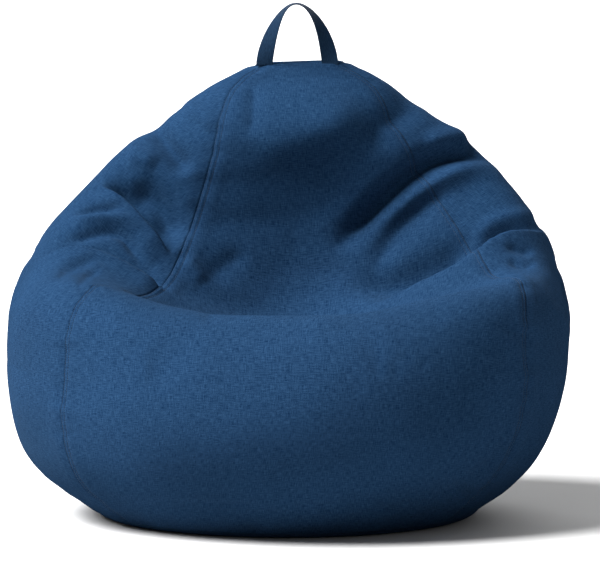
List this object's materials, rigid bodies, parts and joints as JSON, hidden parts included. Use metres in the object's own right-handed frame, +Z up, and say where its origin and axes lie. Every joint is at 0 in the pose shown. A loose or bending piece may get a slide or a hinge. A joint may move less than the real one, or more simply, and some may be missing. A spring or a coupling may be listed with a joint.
{
  "type": "bean bag chair",
  "caption": "Pear-shaped bean bag chair with a sat-in seat hollow, a removable zipped fabric cover over a zipped inner liner of loose beads, and a webbing carry handle.",
  "frame": {"origin": "centre of the flat base disc, on the floor", "axes": "+Z up, the sitter faces -Y, +X to the right of someone who looks at the front of the chair"},
  "size_m": [0.9047, 0.8812, 0.8176],
  "materials": {
    "cover_cloth": "heathered blue plain weave",
    "webbing": "dark blue woven webbing",
    "liner_cloth": "off-white nonwoven",
    "beads": "expanded foam beads",
    "zip_tape": "dark blue woven tape",
    "zip_coil": "dark blue nylon coil",
    "slider_metal": "plated",
    "stop_metal": "plated",
    "label": "blank satin label"
  },
  "bodies": {
    "bag": {"bead_filling": "beads", "care_label": "label", "cover_back_panel": "cover_cloth", "cover_base_panel": "cover_cloth", "cover_front_panel": "cover_cloth", "cover_left_panel": "cover_cloth", "cover_right_panel": "cover_cloth", "cover_top_cap": "cover_cloth", "cover_zip_garage": "cover_cloth", "cover_zip_lower_coil": "zip_coil", "cover_zip_lower_tape": "zip_tape", "cover_zip_stops": "stop_metal", "cover_zip_upper_coil": "zip_coil", "cover_zip_upper_tape": "zip_tape", "handle_left_tail": "webbing", "handle_right_tail": "webbing", "liner_back_half": "liner_cloth", "liner_base_disc": "liner_cloth", "liner_front_half": "liner_cloth", "liner_top_disc": "liner_cloth", "liner_zip_lower_coil": "zip_coil", "liner_zip_lower_tape": "zip_tape", "liner_zip_stops": "stop_metal", "liner_zip_upper_coil": "zip_coil", "liner_zip_upper_tape": "zip_tape"},
    "handle": {"handle_strap": "webbing"},
    "cover_zip_slider": {"cover_zip_slider": "slider_metal"},
    "liner_zip_slider": {"liner_zip_slider": "slider_metal"}
  },
  "joints": [
    {"name": "handle_swing", "type": "hinge", "parent": "bag", "child": "handle", "pos_m": [0.02, 0.1168, 0.7214], "axis": [1, 0, 0], "range_deg": [-75, 95], "stiffness_Nm_per_rad": 0.02},
    {"name": "cover_zip_slide", "type": "hinge", "parent": "bag", "child": "cover_zip_slider", "pos_m": [0, 0, 0.02], "axis": [0, 0, 1], "range_deg": [0, 93]},
    {"name": "liner_zip_slide", "type": "hinge", "parent": "bag", "child": "liner_zip_slider", "pos_m": [0, 0, 0.02], "axis": [0, 0, 1], "range_deg": [0, 61]}
  ]
}
